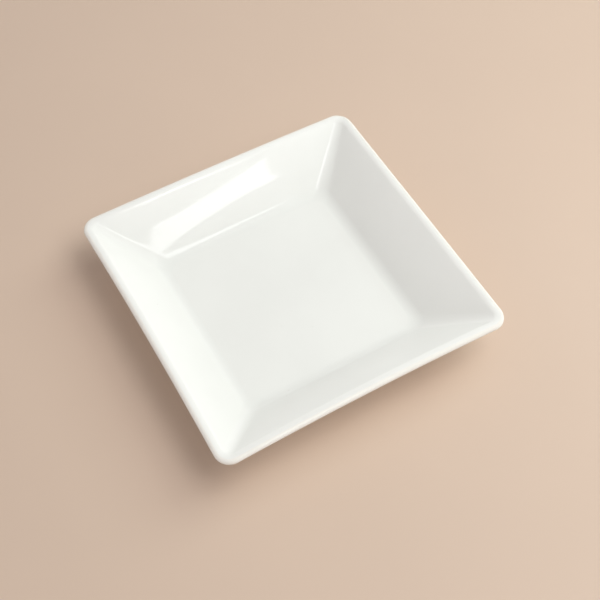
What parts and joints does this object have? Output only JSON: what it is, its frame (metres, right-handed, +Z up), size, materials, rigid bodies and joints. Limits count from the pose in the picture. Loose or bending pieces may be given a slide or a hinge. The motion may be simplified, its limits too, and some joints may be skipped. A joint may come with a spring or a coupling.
{
  "type": "square deep plate",
  "caption": "Square deep plate in glossy white glazed porcelain, with a flat well, sloping walls that meet in soft mitres, a rolled lip and a low square foot ring.",
  "frame": {"origin": "centre of the plate on the plane that its foot ring stands on", "axes": "+Z is up, out of the well; X and Y run along the plate's sides"},
  "size_m": [0.155, 0.155, 0.0304],
  "materials": {
    "bare_porcelain": "matt",
    "white_glaze": "glossy"
  },
  "bodies": {
    "root": {"porcelain_body": "bare_porcelain", "glaze_coat": "white_glaze", "base_glaze": "white_glaze"}
  },
  "joints": []
}
